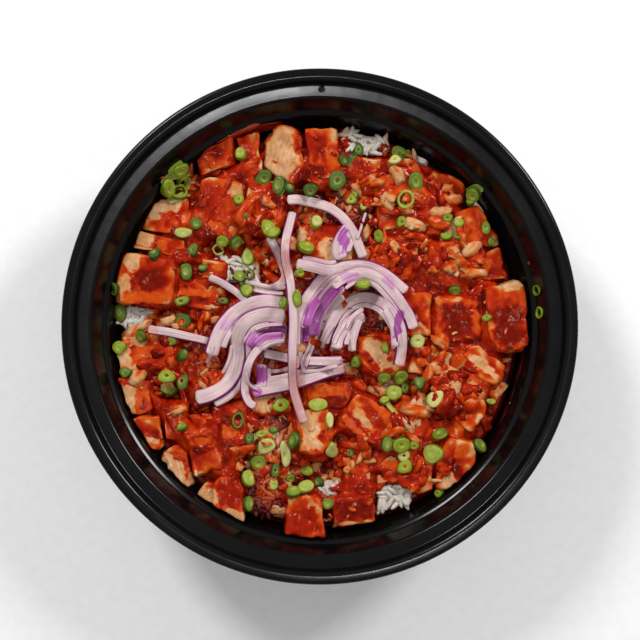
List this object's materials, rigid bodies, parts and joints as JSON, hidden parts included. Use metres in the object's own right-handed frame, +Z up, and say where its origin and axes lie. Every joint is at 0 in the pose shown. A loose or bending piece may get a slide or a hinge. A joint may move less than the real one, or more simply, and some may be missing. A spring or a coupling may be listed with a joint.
{
  "type": "bowl of rice",
  "caption": "Round black takeout bowl with a stepped wall and skirted rim, filled with rice under sauced chicken cubes, red onion strips and scallion slices.",
  "frame": {"origin": "middle of the bowl's flat base", "axes": "+Z up along the bowl's axis; +Y towards the top edge of the picture, +X to its right"},
  "size_m": [0.185, 0.185, 0.05],
  "materials": {
    "bowl": "glossy black moulded plastic",
    "rice": "moist cooked rice",
    "chicken": "cooked chicken in a glossy red sauce",
    "onion": "wet raw red onion"
  },
  "bodies": {
    "root": {"bowl": "bowl", "rice_bed": "rice", "chicken_01": "chicken", "chicken_02": "chicken", "chicken_03": "chicken", "chicken_04": "chicken", "chicken_05": "chicken", "chicken_06": "chicken", "chicken_07": "chicken", "chicken_08": "chicken", "chicken_09": "chicken", "chicken_10": "chicken", "chicken_11": "chicken", "chicken_12": "chicken", "chicken_13": "chicken", "chicken_14": "chicken", "chicken_15": "chicken", "chicken_16": "chicken", "chicken_17": "chicken", "chicken_18": "chicken", "chicken_19": "chicken", "chicken_20": "chicken", "chicken_21": "chicken", "chicken_22": "chicken", "chicken_23": "chicken", "chicken_24": "chicken", "chicken_25": "chicken", "chicken_26": "chicken", "chicken_27": "chicken", "chicken_28": "chicken", "chicken_29": "chicken", "chicken_30": "chicken", "chicken_31": "chicken", "chicken_32": "chicken", "chicken_33": "chicken", "chicken_34": "chicken", "chicken_35": "chicken", "chicken_36": "chicken", "chicken_37": "chicken", "chicken_38": "chicken", "chicken_39": "chicken", "chicken_40": "chicken", "chicken_41": "chicken", "chicken_42": "chicken", "chicken_43": "chicken", "chicken_44": "chicken", "chicken_45": "chicken", "onion_01": "onion", "onion_02": "onion", "onion_03": "onion", "onion_04": "onion", "onion_05": "onion", "onion_06": "onion", "onion_07": "onion", "onion_08": "onion", "onion_09": "onion", "onion_10": "onion", "onion_11": "onion", "onion_12": "onion", "onion_13": "onion"}
  },
  "joints": []
}
